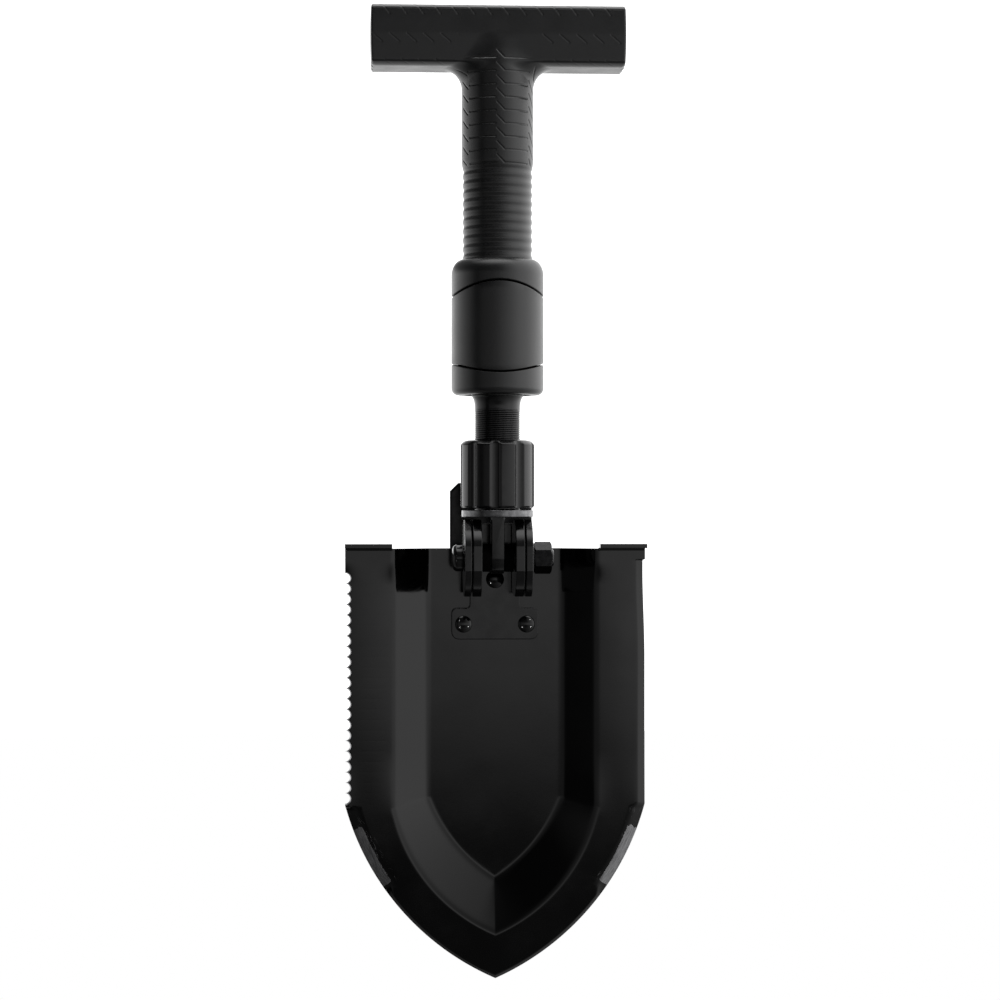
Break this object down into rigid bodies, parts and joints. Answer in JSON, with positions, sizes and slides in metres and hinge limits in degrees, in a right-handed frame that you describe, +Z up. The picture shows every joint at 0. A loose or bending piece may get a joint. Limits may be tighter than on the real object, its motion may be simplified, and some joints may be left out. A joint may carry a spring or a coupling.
{
  "type": "folding shovel",
  "caption": "Folding shovel with a pointed saw-edged blade, a screw-down lock nut at the hinge and a telescopic T handle.",
  "frame": {"origin": "centre of the T bar's flat top face, on the handle's axis, with the blade unfolded and the handle pushed in", "axes": "+Z up the handle and out of the T bar's top, -Z towards the blade's point, +X along the hinge bolt towards its nut, -Y the blade's hollow side"},
  "size_m": [0.1424, 0.0549, 0.456],
  "materials": {
    "blade_coat": "high gloss black coat on pressed steel, ground bright along the cutting edges",
    "black_steel": "satin black coat on steel",
    "bare_steel": "bare turned steel",
    "tube_metal": "drawn tube, satin",
    "moulding": "satin black moulding, lightly textured",
    "bush_plastic": "natural engineering plastic",
    "soft_seal": "soft black ring"
  },
  "bodies": {
    "stem": {"threaded_stem": "black_steel", "inner_tube": "tube_metal", "stem_pin": "bare_steel", "expander_screw": "bare_steel"},
    "blade": {"blade": "blade_coat", "front_bracket": "black_steel", "rear_saddle": "black_steel", "rivet_left": "black_steel", "rivet_right": "black_steel", "rivet_centre": "black_steel", "pivot_bolt": "black_steel", "pivot_nut": "bare_steel", "pivot_washer": "black_steel", "spacer_left": "black_steel", "spacer_right": "black_steel"},
    "washer": {"thrust_washer": "bare_steel"},
    "lock_nut": {"lock_nut": "black_steel"},
    "expander": {"expander_sleeve": "bush_plastic"},
    "handle": {"outer_tube": "tube_metal", "t_grip": "moulding", "tube_plug": "bush_plastic", "collar_band": "moulding", "lower_ring": "moulding", "guide_bush": "bush_plastic", "wiper_ring": "soft_seal"}
  },
  "joints": [
    {"name": "blade_fold", "type": "hinge", "parent": "stem", "child": "blade", "pos_m": [0, 0, -0.256], "axis": [-1, 0, 0], "range_deg": [0, 180]},
    {"name": "nut_travel", "type": "slide", "parent": "stem", "child": "washer", "axis": [0, 0, 1], "range_m": [-0.00115, 0.013]},
    {"name": "nut_spin", "type": "hinge", "parent": "washer", "child": "lock_nut", "pos_m": [0, 0, -0.2169], "axis": [0, 0, 1], "range_deg": [-210, 2345]},
    {"name": "lock_twist", "type": "hinge", "parent": "stem", "child": "expander", "pos_m": [0, 0, -0.0152], "axis": [0, 0, 1], "range_deg": [0, 180]},
    {"name": "handle_extend", "type": "slide", "parent": "expander", "child": "handle", "axis": [0, 0, 1], "range_m": [0, 0.14]}
  ],
  "couplings": [
    {"joint": "nut_spin", "follows": "nut_travel", "rad_per_m": 3141.6}
  ]
}
